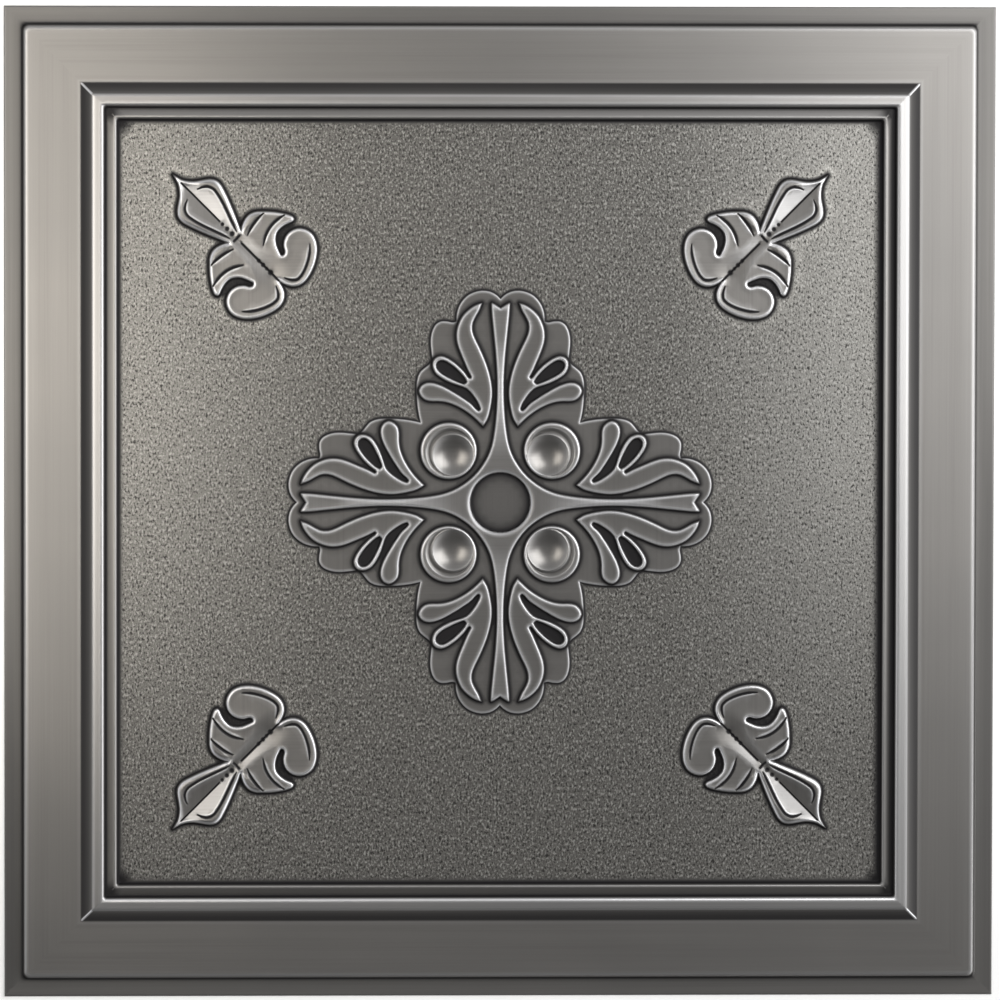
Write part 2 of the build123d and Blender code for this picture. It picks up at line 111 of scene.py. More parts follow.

# frame: half-width, plan radius, height of the face, dark patina with painted shade, rubbed edge with painted
# highlight
FRAME = [
    (301.625, 0, 0.45, 0.45, 0.0), (301.45, 0, 0.68, 0.30, 0.06), (301.1, 0, 0.8, 0.23, 0.05),
    (300.2, 0, 0.8, 0.25, 0.0), (297.0, 0, 0.8, 0.27, 0.0), (293.6, 1.0, 0.8, 0.34, 0.0),
    (292.3, 2.2, 0.8, 0.48, 0.0), (291.5, 3.0, 0.82, 0.82, 0.0), (290.95, 3.4, 0.95, 0.98, 0.0),
    (290.6, 3.6, 1.5, 1.0, 0.0), (290.3, 3.6, 3.2, 0.97, 0.0), (290.0, 3.6, 4.9, 0.75, 0.0),
    (289.6, 3.6, 5.7, 0.40, 0.06), (289.05, 3.4, 6.2, 0.05, 0.26), (288.3, 3.0, 6.43, 0.0, 0.36),
    (287.5, 2.6, 6.5, 0.0, 0.14), (286.5, 2.2, 6.5, 0.0, 0.02), (280.0, 0.5, 6.5, 0.0, 0.0),
    (268.0, 0, 6.5, 0.0, 0.0), (258.0, 0, 6.5, 0.0, 0.0), (256.4, 0, 6.5, 0.0, 0.06),
    (255.6, 0, 6.5, 0.15, 0.06), (255.05, 0, 6.56, 0.75, 0.0), (254.5, 0, 6.75, 0.90, 0.0),
    (252.7, 0, 7.85, 0.86, 0.0), (250.4, 0, 9.30, 0.74, 0.0), (248.9, 0, 10.20, 0.50, 0.0),
    (248.4, 0, 10.42, 0.22, 0.15), (247.95, 0, 10.6, 0.0, 0.38), (247.3, 0, 10.76, 0.0, 0.40),
    (246.5, 0, 10.84, 0.0, 0.17), (245.0, 0.2, 10.9, 0.0, 0.12), (243.8, 0.6, 10.97, 0.0, 0.17),
    (242.9, 1.0, 10.99, 0.0, 0.34), (242.1, 1.3, 10.85, 0.0, 0.50), (241.5, 1.5, 10.4, 0.0, 0.38),
    (241.0, 1.6, 9.6, 0.5, 0.04), (240.65, 1.6, 8.0, 0.95, 0.0), (240.35, 1.6, 6.4, 1.0, 0.0),
    (240.0, 1.6, 5.7, 1.0, 0.0), (239.6, 1.6, 5.6, 0.97, 0.0), (239.0, 1.6, 5.66, 0.70, 0.0),
    (238.1, 1.6, 5.88, 0.30, 0.0), (236.8, 1.6, 6.26, 0.10, 0.0), (235.5, 1.6, 6.62, 0.02, 0.03),
    (234.6, 1.6, 6.84, 0.0, 0.15), (233.95, 1.6, 6.66, 0.0, 0.20), (233.5, 1.6, 6.2, 0.30, 0.1),
    (233.15, 1.6, 5.2, 0.9, 0.0), (232.75, 1.6, 3.6, 1.0, 0.0), (232.4, 1.6, 2.3, 1.0, 0.0),
    (232.0, 1.8, 2.04, 1.0, 0.0), (231.3, 2.4, 2.0, 0.84, 0.0), (230.4, 3.5, 2.0, 0.52, 0.0),
    (229.2, 5.5, 2.0, 0.43, 0.0), (227.0, 9.0, 2.0, 0.40, 0.0), (222.0, 13.0, 2.0, 0.40, 0.0),
]
FIELD_IN = 222.0
BACK_LINES = [301.625, 300.0, 292.5, 291.9, 291.4, 291.0, 290.6, 290.2, 289.8, 289.3, 288.7, 287.9, 286.5,
              270.0, 255.6, 254.8, 254.0, 249.4, 248.3, 247.6, 246.8, 245.0, 243.2, 242.5, 242.0,
              241.6, 241.1, 240.5, 239.8, 238.8, 237.0, 235.8, 235.0, 234.5, 234.0, 233.6, 233.1,
              232.3, 230.8, 222.0]


# ------------------------------------------------------------------ curves in plan
def smooth(points, step=0.25):
    p = np.array(points, float)
    if len(p) == 2:
        n = max(2, int(np.linalg.norm(p[1] - p[0]) / step))
        return p[0] + (p[1] - p[0]) * np.linspace(0, 1, n + 1)[:, None]
    closed = np.allclose(p[0], p[-1]) and False
    q = np.vstack([2 * p[0] - p[1], p, 2 * p[-1] - p[-2]])
    out = []
    for i in range(len(p) - 1):
        p0, p1, p2, p3 = q[i:i + 4]
        t1 = math.sqrt(np.linalg.norm(p1 - p0)); t2 = t1 + math.sqrt(np.linalg.norm(p2 - p1))
        t3 = t2 + math.sqrt(np.linalg.norm(p3 - p2))
        m = max(1, math.ceil(np.linalg.norm(p2 - p1) / step))
        t = (t1 + (t2 - t1) * np.arange(m) / m)[:, None]
        a1 = (t1 - t) / t1 * p0 + t / t1 * p1
        a2 = (t2 - t) / (t2 - t1) * p1 + (t - t1) / (t2 - t1) * p2
        a3 = (t3 - t) / (t3 - t2) * p2 + (t - t2) / (t3 - t2) * p3
        b1 = (t2 - t) / t2 * a1 + t / t2 * a2
        b2 = (t3 - t) / (t3 - t1) * a2 + (t - t1) / (t3 - t1) * a3
        out.append((t2 - t) / (t2 - t1) * b1 + (t - t1) / (t2 - t1) * b2)
    out.append(p[-1:])
    return np.vstack(out)


def thin(p, turn=13.0, longest=2.4, shortest=0.3):
    """Fewer points where the line is straight, more where it bends."""
    d = np.diff(p, axis=0)
    a = np.arctan2(d[:, 1], d[:, 0])
    keep = [0]; bend = 0.0; run = 0.0
    for i in range(1, len(p) - 1):
        run += math.hypot(*d[i - 1])
        bend += abs((a[i] - a[i - 1] + math.pi) % (2 * math.pi) - math.pi)
        if (math.degrees(bend) > turn and run > shortest) or run > longest:
            keep.append(i); bend = 0.0; run = 0.0
    keep.append(len(p) - 1)
    return p[keep]


def outline(segments, **kw):
    """Smooth pieces that meet at sharp corners, as one line."""
    parts = [thin(smooth(s), **kw) for s in segments]
    return np.vstack([q[:-1] for q in parts[:-1]] + [parts[-1]])


def arc(cx, cy, r, a0, a1, n):
    t = np.radians(np.linspace(a0, a1, n + 1))
    return np.c_[cx + r * np.cos(t), cy + r * np.sin(t)]


plate, star = outline(PLATE), outline(STAR)
leaf, eye = outline(LEAF), outline(EYE)
spear, wing = outline(SPEAR), outline(WING)
hub = arc(0, 0, HUB_R, 90, 45, 9)
cup = arc(CUP_AT, CUP_AT, CUP_R, 225, 45, 32)
step_line = arc(STEP_AT, STEP_AT, STEP_R, 225, 45, 28)
bowl = arc(BOWL_AT, BOWL_AT, BOWL_R, 225, 45, 26)
ridge = thin(smooth(RIDGE))
grooves = [(thin(smooth(g)) if len(g) > 2 else smooth(g, 2.2), w, d, side) for g, w, d, side in GROOVES]


def segs(*lines):
    return np.vstack([np.hstack([l[:-1], l[1:]]) for l in lines])


def distance(P, S):
    out = np.empty(len(P))
    a, ab = S[:, :2], S[:, 2:] - S[:, :2]
    ll = np.maximum((ab ** 2).sum(1), 1e-12)
    for i in range(0, len(P), 2000):
        p = P[i:i + 2000, None, :] - a[None]
        t = np.clip((p * ab).sum(2) / ll, 0, 1)
        out[i:i + 2000] = np.sqrt(((p - t[..., None] * ab) ** 2).sum(2).min(1))
    return out


def within(P, poly):
    poly = np.asarray(poly, float)
    a, b = poly, np.roll(poly, -1, axis=0)
    out = np.zeros(len(P), bool)
    for i in range(0, len(P), 4000):
        x, y = P[i:i + 4000, 0:1], P[i:i + 4000, 1:2]
        hit = (a[:, 1] > y) != (b[:, 1] > y)
        with np.errstate(divide="ignore", invalid="ignore"):
            xc = (b[:, 0] - a[:, 0]) * (y - a[:, 1]) / (b[:, 1] - a[:, 1]) + a[:, 0]
        out[i:i + 4000] = (hit & (x < xc)).sum(1) % 2 == 1
    return out


def signed(P, S, inside):
    d = distance(P, S)
    return np.where(inside, d, -d)


# everything below is evaluated inside the eighth 0 <= x <= y
E = 1e-3
poly_plate = np.vstack([[(-9, -9), (-9, 124)], plate, [(80, 48.7), (80, -9)]])
poly_star = np.vstack([[(-9, -9), (-9, 118.5)], star, [(40, 16.3), (40, -9)]])
poly_spear = np.vstack([[(160.0, 160.0 - 9)], [(157.9, 165.6)], spear, [(215, 199.2 - 9)]])
poly_wing = np.vstack([[(161.5, 161.5 - 9)], [(161.5, 161.5)], wing, [(134.8, 134.8 - 9)]])


def sd_plate(P):
    return signed(P, segs(plate), within(P, poly_plate))


def sd_leaf(P):
    return signed(P, segs(leaf, eye), within(P, leaf) & ~within(P, eye))


def sd_star(P):
    r = np.hypot(P[:, 0], P[:, 1])
    return signed(P, segs(star, hub), within(P, poly_star) & (r > HUB_R))


def sd_cup(P):
    return CUP_R - np.hypot(P[:, 0] - CUP_AT, P[:, 1] - CUP_AT)


def sd_orn(P):
    far = P[:, 1] + P[:, 0] < 200
    d = np.full(len(P), -50.0)
    q = P[~far]
    if len(q):
        d[~far] = signed(q, segs(spear, wing), within(q, poly_spear) | within(q, poly_wing))
    return d


FR = np.array(FRAME)


def box_distance(P, c, r):
    q = np.stack([P[:, 0] - c + r, P[:, 1] - c + r], 1)
    return np.hypot(*np.maximum(q, 0).T) - r + np.minimum(q.max(1), 0)


def frame_values(P):
    """Height, patina with painted shade, and rub with painted highlight of the frame, run between neighbouring lines
    of FRAME.
    """
    s = np.stack([box_distance(P, c, r) for c, r in FR[:, :2]], 1)
    k = np.clip((s <= 1e-6).sum(1) - 1, 0, len(FR) - 2)
    i = np.arange(len(P))
    a, b = -s[i, k], s[i, k + 1]
    w = np.clip(a / np.maximum(a + b, 1e-9), 0, 1)[:, None]
    return FR[k, 2:] * (1 - w) + FR[k + 1, 2:] * w


def table(d, xs, ys):
    return np.interp(d, xs, ys)


WALL_X = [-1.0, -0.7, -0.35, 0.0, 0.35, 0.8, 1.4, 2.3, 3.4]
WALL_Y = [0.0, 0.015, 0.12, 0.46, 0.80, 0.955, 1.0, 0.985, 0.955]
LOW_X = [-0.9, -0.5, -0.15, 0.2, 0.6, 1.1, 2.0]
LOW_Y = [0.0, 0.04, 0.30, 0.78, 0.97, 1.0, 0.98]


def relief(P):
    """Face height, dark patina with painted shade, rubbed edges with painted highlights, and stipple inside the frame.
    """
    n = len(P)
    dp, dl, ds, dc, do = sd_plate(P), sd_leaf(P), sd_star(P), sd_cup(P), sd_orn(P)
    z = Z_FIELD + H_PLATE * table(dp, LOW_X, LOW_Y)
    base = z.copy()
    dark = table(dp, [-7.0, -3.0, -1.6, -0.8, -0.15, 0.2], [0, .12, .5, .97, .97, 0.0])
    bright = table(dp, [0.0, 0.3, 0.65, 1.1, 2.0], [0, .65, .85, .30, 0])
    dark = np.maximum(dark, table(dp, [0.7, 2.4], [0.0, 0.40]))
    for d, h, gain, inner in ((dl, H_LEAF, 1.0, .18), (ds, H_STAR, 1.0, .12), (dc, H_CUP, 0.66, 0)):
        top = Z_FIELD + h
        z = np.maximum(z, base + (top - base) * table(d, WALL_X, WALL_Y))
        # the foot of each raised shape is dark with patina and painted shade
        foot = table(d, [-5.5, -3.0, -1.8, -0.9, -0.2, 0.25], [.40, .50, .78, 1.0, 1.0, 0])
        bright = np.where(d > -1.2, 0, bright)
        dark = np.maximum(dark, foot)
        bright = np.maximum(bright, gain * table(d, [0.05, 0.4, 0.8, 1.25, 1.9, 3.0],
                                                 [0, .6, 1.0, .66, .16, 0]))
        dark = np.where(d > 0.25, table(d, [0.8, 2.6], [0, inner]), dark)
    # narrow gaps fill with patina and painted shade
    slot = within(P, SLOT) & (dl < 0)
    hole = within(P, eye)
    gap = np.clip(0.55 + 0.45 * np.minimum(1, 3.0 / np.maximum(-dl + 1.0, 1)), 0, 1)
    dark = np.where(hole, np.maximum(dark, 0.98), dark)
    dark = np.where(slot, np.maximum(dark, table(-dl, [0, 1.5, 3.5], [1, .98, .92])), dark)
    r = np.hypot(P[:, 0], P[:, 1])
    dark = np.where(r < HUB_R, np.maximum(table(HUB_R - r, [0, 1.2, 3, 6, 12], [1, 1.0, .82, .62, .54]), 0), dark)
    # middle of the star's arms stands up as a ridge
    arm = table(ds, [0.8, 2.4], [0, 0.22]) * table(P[:, 1], [34, 50, 84, 100], [0, 1, 1, 0]) * (ds > 0)
    z += arm
    z -= 0.75 * table(r - HUB_R, [0.3, 1.2, 2.6], [1, .62, 0]) * (ds > 0)
    bright = np.where(ds > 0.3, np.maximum(bright, .50 * table(r - HUB_R, [0.2, 0.8, 1.9, 2.6], [0, 1, .85, 0])), bright)
    bright = np.where(ds > 0.4, np.maximum(bright, table(P[:, 1], [28, 48, 60, 76, 88, 100], [.06, .42, .66, .66, .42, .08])), bright)
    # cups: ring, step, eccentric bowl
    m = dc > 0
    rs = np.hypot(P[:, 0] - STEP_AT, P[:, 1] - STEP_AT)
    rb = np.hypot(P[:, 0] - BOWL_AT, P[:, 1] - BOWL_AT)
    top = Z_FIELD + H_CUP
    ring = top * np.ones(n)
    ring -= 1.15 * table(rs, [STEP_R - 1.6, STEP_R - 0.9, STEP_R, STEP_R + 0.5], [1, .92, .12, 0])
    lip = top - 0.15 - 1.0 * table(rb, [BOWL_R + 0.1, BOWL_R + 0.7, BOWL_R + 1.6], [0, .2, 1])
    inner = np.where(rb > BOWL_R, np.maximum(ring, lip), top - 0.15 - BOWL_DEPTH * (1 - np.clip(rb / BOWL_R, 0, 1) ** 2.3))
    z = np.where(m & (dc > 1.4), inner, z)
    cb = table(rb, [0, BOWL_R - 1.8, BOWL_R - 0.3, BOWL_R + 0.5, BOWL_R + 1.2], [0, .04, .13, .13, 0])
    cd = table(rs, [STEP_R - 2.6, STEP_R - 1.4, STEP_R - 0.3], [.55, .6, 0]) * (rb > BOWL_R + 0.9)
    inside = m & (dc > 2.2)
    bright = np.where(inside, np.maximum(cb, table(rs, [STEP_R - .2, STEP_R + .5, STEP_R + 1.3], [0, .22, .06])), bright)
    dark = np.where(inside, cd, dark)
    gloss = table(rb, [BOWL_R - 0.8, BOWL_R + 0.6], [1, .5]) * table(dc, [1.0, 2.2], [0, 1])
    # corner ornament
    a = (P[:, 1] - P[:, 0]) / math.sqrt(2)          # distance from the ornament's own axis
    s = (P[:, 1] + P[:, 0]) / 2
    on = do > -6
    zo = Z_FIELD + H_ORN * table(do, WALL_X, WALL_Y)
    fill = table(do, [1.2, 2.4], [0, 1])
    # both halves slope down to the engraved axis like an open book
    half = table(s, [158, 161, 162.9, 170.5, 178, 184, 190, 195, 199], [2.2, 2.5, 3.0, 5.6, 7.2, 6.9, 5.2, 3.2, 1.4])
    stem = table(s, [130, 136, 141, 145, 148, 152.6, 157, 160.4], [8, 9, 8.6, 6.8, 5.6, 4.7, 4.3, 4.5])
    spearhead = s > 160.5
    wide = np.where(spearhead, half, stem)
    slope = np.where(spearhead, 0.17, 0.19 * table(s, [134, 142], [.25, 1]))
    vee = slope * np.clip(a - wide, None, np.where(spearhead, 4.4, 0)) * fill
    zo += np.where(do > 0, vee, 0)
    z = np.where(on, zo, z)
    # dark round the ornament's foot and in its notch: patina and painted shade
    od = table(do, [-5.6, -3.3, -2.1, -1.3, -0.2, 0.1], [0, .14, .60, 1.0, 1.0, 0])
    ob = table(do, [0.05, 0.35, 0.8, 1.3, 2.0, 3.0], [0, .55, .86, .65, .12, .0])
    dr = distance(P, segs(ridge))
    ob = np.where(do > 1.0, np.maximum(ob, table(dr, [0, 0.3, 1.0], [.22, .18, 0]) * table(s, [142, 150], [0, 1])), ob)
    gap = NOTCH + NOTCH[:1]
    notch = signed(P, segs(np.array(gap)), within(P, NOTCH)) if on.any() else np.full(n, -9.0)
    dark = np.where(on, np.maximum(od, table(notch, [-1.2, 1.0], [0, .97]) * (do < 0.1)), dark)
    bright = np.where(on, ob, bright)
    if on.any():
        q = P[on]
        zg, dg, bg = z[on], dark[on], bright[on]
        for line, w, depth, side in grooves:
            d = distance(q, segs(line))
            near = d < w + 2.5
            if not near.any():
                continue
            # engraved lines run out thin at both ends
            reach = np.minimum(np.hypot(*(q - line[0]).T), np.hypot(*(q - line[-1]).T))
            taper = table(reach, [0.2, 4.5], [.42, 1]) if side else 1.0
            d = d / taper
            k = table(d, [0, w * .45, w * .8, w * 1.25], [1, .9, .35, 0])
            zg = zg - depth * k
            dg = np.maximum(dg, table(d, [0, w * .7, w * 1.1, w * 1.6], [1, 1, .5, 0]))
            bg = np.where(d < w * 1.1, 0, bg)
            if side:
                mid, tan = line[:-1], np.diff(line, axis=0)
                j = np.argmin(((q[:, None] - mid[None]) ** 2).sum(2), 1)
                cr = tan[j, 0] * (q[:, 1] - mid[j, 1]) - tan[j, 1] * (q[:, 0] - mid[j, 0])
                rim = table(d, [w * .9, w * 1.3, w * 1.9, w * 2.8], [0, 1, .6, 0]) * (np.sign(cr) == np.sign(side))
                rim = rim * table(reach, [0.6, 3.0], [0, 1])
                zg = zg + 0.15 * rim * abs(side)
                bg = np.maximum(bg, 0.9 * rim * abs(side))
        for at, size in DOTS:
            d = np.hypot(q[:, 0] - at, q[:, 1] - at)
            zg = zg - 0.5 * table(d, [0, size * .6, size, size * 1.4], [1, .8, .3, 0])
            dg = np.maximum(dg, table(d, [size * .9, size * 1.5], [1, 0]))
            bg = np.where(d < size * 1.2, 0, bg)
        z[on], dark[on], bright[on] = zg, dg, bg
    open_field = np.minimum(np.minimum(-dp, -do), 30)
    stip = table(open_field, [0.4, 2.2], [0, 1])
    stip *= table(np.maximum(np.maximum(-dl, -ds), 0), [0, 1], [1, 1])
    return z, dark, bright, stip, gloss


def face_values(P):
    fv = frame_values(P)
    z, dark, bright = fv.T.copy()
    bright *= 0.75
    stip, gloss = np.zeros(len(P)), np.zeros(len(P))
    c = box_distance(P, 227.0, 9.0)
    m = c < 0
    if m.any():
        rz, rd, rb, rs, gloss[m] = relief(P[m])
        z[m] = rz
        dark[m] = rd
        bright[m] = rb
        stip[m] = rs
    # painted shade in the inner corners of the field
    corner = np.hypot(232 - P[:, 0], 232 - P[:, 1])
    f = np.clip(box_distance(P, 232.0, 1.8), -40, 0)
    dark = np.where(f < 0, np.maximum(dark, table(corner, [3.5, 7.5, 13], [1, .8, 0])), dark)
    # the inner strip darkens towards its corners
    strip = (P[:, 1] > 235.2) & (P[:, 1] < 240.6)
    dark = np.where(strip, np.maximum(dark, table(P[:, 0], [226, 231.5, 235], [0, .45, .92])), dark)
    stip = np.where(f < 0, np.where(m, stip, 1.0), 0)
    stip *= table(-f, [0.6, 2.6], [0, 1])
    return z, dark, bright, stip, gloss


# ------------------------------------------------------------------ plan mesh of the eighth
class Plan:
    def __init__(self):
        self.v, self.e, self.key = [], [], {}

    def vert(self, x, y):
        if abs(x) < 2e-3: x = 0.0
        if abs(x - y) < 2e-3: x = y = (x + y) / 2
        if abs(y - HALF) < 2e-3: y = HALF
        k = (round(x * 500), round(y * 500))
        if k not in self.key:
            self.key[k] = len(self.v); self.v.append((x, y))
        return self.key[k]

    def edge(self, a, b):
        t0, t1 = 0.0, 1.0
        for ga, gb in ((a[0], b[0]), (a[1] - a[0], b[1] - b[0]), (HALF - a[1], HALF - b[1])):
            if ga < -1e-9 and gb < -1e-9:
                return
            if ga < 0 < gb: t0 = max(t0, ga / (ga - gb))
            elif gb < 0 < ga: t1 = min(t1, ga / (ga - gb))
        if t1 - t0 < 1e-6:
            return
        p = [a[i] + (b[i] - a[i]) * t0 for i in (0, 1)]
        q = [a[i] + (b[i] - a[i]) * t1 for i in (0, 1)]
        i, j = self.vert(*p), self.vert(*q)
        if i != j:
            self.e.append((i, j))

    def line(self, p):
        for a, b in zip(p[:-1], p[1:]):
            self.edge(a, b)

    def offset(self, p, d, dist, ends, closed=False):
        """A line at distance d to the left of p, only where nothing is nearer than d."""
        p = [tuple(q) for q in p]
        if closed:
            p = p[:-1]; prev, nxt = p[-1], p[0]
        else:
            mirror = {"x": lambda q: (-q[0], q[1]), "d": lambda q: (q[1], q[0]), None: None}
            prev = mirror[ends[0]](p[1]) if ends[0] else None
            nxt = mirror[ends[1]](p[-2]) if ends[1] else None
        out = []
        for i, q in enumerate(p):
            a = p[i - 1] if i else prev
            b = p[i + 1] if i + 1 < len(p) else nxt
            def normal(u, v):
                l = math.hypot(v[0] - u[0], v[1] - u[1])
                return (-(v[1] - u[1]) / l, (v[0] - u[0]) / l)
            if a is None or a == q: n0 = n1 = normal(q, b)
            elif b is None or b == q: n0 = n1 = normal(a, q)
            else: n0, n1 = normal(a, q), normal(q, b)
            a0, a1 = math.atan2(n0[1], n0[0]), math.atan2(n1[1], n1[0])
            da = (a1 - a0 + math.pi) % (2 * math.pi) - math.pi
            if abs(da) > math.radians(35) and da * d < 0:      # outside of a sharp corner
                k = 2 * math.ceil(abs(da) / math.radians(44))
                for j in range(k + 1):
                    t = a0 + da * j / k
                    out.append((q[0] + d * math.cos(t), q[1] + d * math.sin(t)))
            else:
                t = a0 + da / 2; s = d / max(math.cos(da / 2), 0.3)
                out.append((q[0] + s * math.cos(t), q[1] + s * math.sin(t)))
        out = np.array(out)
        ok = dist(out) >= abs(d) - 0.02 - 0.02 * abs(d)
        n = len(out)
        for i in range(n if closed else n - 1):
            j = (i + 1) % n
            if ok[i] and ok[j] and np.hypot(*(out[i] - out[j])) < 4.5:
                self.edge(out[i], out[j])


def folded(P):
    """A point's image in the eighth."""
    q = np.abs(P)
    return np.stack([q.min(1), q.max(1)], 1)


def frame_line(plan, c, r, spots):
    pts = [(x, c) for x in spots if x < c - r - 13]
    pts += [(c - r - s, c) for s in (12, 6, 2.5, 0.9) if c - r - s > pts[-1][0] + 1]
    if r > 0:
        pts += [tuple(q) for q in arc(c - r, c - r, r, 90, 45, 4)]
    else:
        pts.append((c, c))
    plan.line(pts)


def fill(plan, keep_out, spacing, region):
    g = spacing
    rows = np.arange(0, 236, g * 0.866)
    pts = []
    for j, y in enumerate(rows):
        xs = np.arange(g / 2 if j % 2 else g, y - g * 0.4, g)
        pts += [(x, y) for x in xs]
    P = np.array(pts)
    P = P[region(P)]
    V = np.array(plan.v)
    near = np.empty(len(P))
    for i in range(0, len(P), 1500):
        near[i:i + 1500] = np.sqrt(((P[i:i + 1500, None] - V[None]) ** 2).sum(2).min(1))
    for x, y in P[near > keep_out]:
        plan.vert(x, y)


SPOTS = [0, 40, 80, 120, 160, 200, 240]
d_plate = lambda q: distance(folded(q), segs(plate))
d_raised = lambda q: np.minimum(distance(folded(q), segs(leaf, eye, star, hub)),
                                np.abs(sd_cup(folded(q))))
d_orn = lambda q: distance(folded(q), segs(spear, wing))


def relief_lines(plan, low, wall, fine=True):
    for d in low:
        plan.offset(plate, -d, d_plate, ("x", "d"))
    for d in wall:
        # leaf runs clockwise as drawn up its left side; its inside is to the right of travel
        plan.offset(leaf, -d, d_raised, None, closed=True)
        plan.offset(star, -d, d_raised, ("x", "d"))
        plan.offset(hub, d, d_raised, ("x", "d"))
        plan.offset(spear, -d, d_orn, (None, "d"))
        plan.offset(wing, d, d_orn, (None, "d"))
        n = max(8, int(32 * (1 if fine else .6)))
        c = arc(CUP_AT, CUP_AT, CUP_R - d, 225, 45, n)
        ok = d_raised(c) >= abs(d) - 0.03
        for i in range(len(c) - 1):
            if ok[i] and ok[i + 1]: plan.edge(c[i], c[i + 1])
    for d in [w for w in wall if w <= 3.3]:
        plan.offset(eye, d, d_raised, None, closed=True)


def build(lines, low, wall, fine):
    plan = Plan()
    for c, r in lines:
        frame_line(plan, c, r, SPOTS)
    plan.line([(x, HALF) for x in SPOTS] + [(HALF - s, HALF) for s in (12, 6, 2.5, 0.9)] + [(HALF, HALF)])
    relief_lines(plan, low, wall, fine)
    if fine:
        plan.offset(eye, -0.35, d_raised, None, closed=True)
        for dr in (STEP_R + .5, STEP_R, STEP_R - .9, STEP_R - 1.6):
            q = arc(STEP_AT, STEP_AT, dr, 225, 45, 26)
            ok = (sd_cup(q) > 1.5) & (np.hypot(q[:, 0] - BOWL_AT, q[:, 1] - BOWL_AT) > BOWL_R + .3)
            for i in range(len(q) - 1):
                if ok[i] and ok[i + 1]: plan.edge(q[i], q[i + 1])
        for rr in (BOWL_R + 1.6, BOWL_R + .7, BOWL_R + .1, BOWL_R - .35, BOWL_R - 1.2, 9.9, 8.4, 6.7, 5.0, 3.3, 1.6):
            q = arc(BOWL_AT, BOWL_AT, rr, 225, 45, max(6, int(26 * (rr / BOWL_R) ** .6)))
            ok = sd_cup(q) > 1.45
            for i in range(len(q) - 1):
                if ok[i] and ok[i + 1]: plan.edge(q[i], q[i + 1])
        for line, w, depth, side in grooves:
            inside = lambda q: distance(folded(q), segs(line))
            on_axis = abs(line[0][0] - line[0][1]) < 1e-6
            plan.line(line)
            for k in (.45, .8, 1.25, 1.8, 2.6):
                plan.offset(line, w * k, inside, (None, None))
                if not on_axis:
                    plan.offset(line, -w * k, inside, (None, None))
            for end in (0, -1):
                ex, ey = line[end]
                for k in (.45, 1.25):
                    plan.line(arc(ex, ey, w * k, 0, 360, 8 if k < 1 else 10))
        for at, size in DOTS:
            for k in (.6, 1.0, 1.4):
                plan.line(arc(at, at, size * k, 225, 45, 6))
        for d in (-.5, .5):
            plan.offset(ridge, d, lambda q: distance(q, segs(ridge)), (None, None))
        fill(plan, 1.7, 3.0, lambda P: (sd_plate(P) > 1) | (sd_orn(P) > 1))
    else:
        fill(plan, 2.6, 4.5, lambda P: (sd_plate(P) > 1) | (sd_orn(P) > 1))
    if fine:
        fill(plan, 3.4, 6.0, lambda P: (P[:, 1] < 140) | (sd_orn(P) > -12))
    fill(plan, 7.0, 13.0, lambda P: P[:, 1] < 221)
    # the two cut lines of the eighth carry points all along, so nothing is stretched over them
    for axis in (lambda t: (0.0, t), lambda t: (t, t)):
        known = [t for t in (v[1] for v in plan.v if np.allclose(v, axis(v[1]), atol=1e-6))]
        plan.vert(0.0, 0.0)
        gap = 2.5 if fine else 5.0
        for t in np.arange(gap, 222.0, gap):
            if not known or min(abs(t - k) for k in known) > gap * 0.55:
                plan.vert(*axis(float(t)))
    inner = len(plan.v)
    for on in (lambda v: v[0] == 0.0, lambda v: v[0] == v[1], lambda v: v[1] == HALF):
        row = sorted((i for i in range(inner) if on(plan.v[i])), key=lambda i: plan.v[i][0] + plan.v[i][1])
        plan.e += list(zip(row[:-1], row[1:]))
    guard = [(-60.0, -90.0), (-60.0, 380.0), (420.0, 420.0), (200.0, 60.0)]
    V, _, F, _, _, _ = delaunay_2d_cdt([Vector(v) for v in plan.v + guard], plan.e, [], 0, 1e-4)
    V = np.array([(v.x, v.y) for v in V])
    F = np.array([f for f in F])
    cx, cy = V[F].mean(1).T
    F = F[(cx > 0) & (cy > cx) & (cy < HALF)]
    used = np.unique(F); renum = np.full(len(V), -1); renum[used] = np.arange(len(used))
    V, F = V[used], renum[F]
    V[np.abs(V[:, 0]) < 1e-3, 0] = 0
    on = np.abs(V[:, 0] - V[:, 1]) < 1e-3
    V[on] = V[on].mean(1)[:, None]
    V[np.abs(V[:, 1] - HALF) < 1e-3, 1] = HALF
    a, b, c = V[F[:, 0]], V[F[:, 1]], V[F[:, 2]]
    area = (b[:, 0] - a[:, 0]) * (c[:, 1] - a[:, 1]) - (b[:, 1] - a[:, 1]) * (c[:, 0] - a[:, 0])
    F = F[np.abs(area) > 1e-7]
    area = area[np.abs(area) > 1e-7]
    F[area < 0] = F[area < 0][:, ::-1]
    return V, F


LOW = [-2.0, -0.9, -0.5, -0.15, 0.2, 0.6, 1.1, 2.0]
WALL = [-3.0, -1.8, -1.0, -0.65, -0.35, 0.0, 0.35, 0.8, 1.4, 2.3, 3.4]
fv, ff = build([(c, r) for c, r in FR[1:, :2]], LOW, WALL, True)
fz, dark, bright, stip, gloss = face_values(fv)
fz = np.minimum(fz, 11.0)
edge_top = np.abs(fv[:, 1] - HALF) < 1e-6

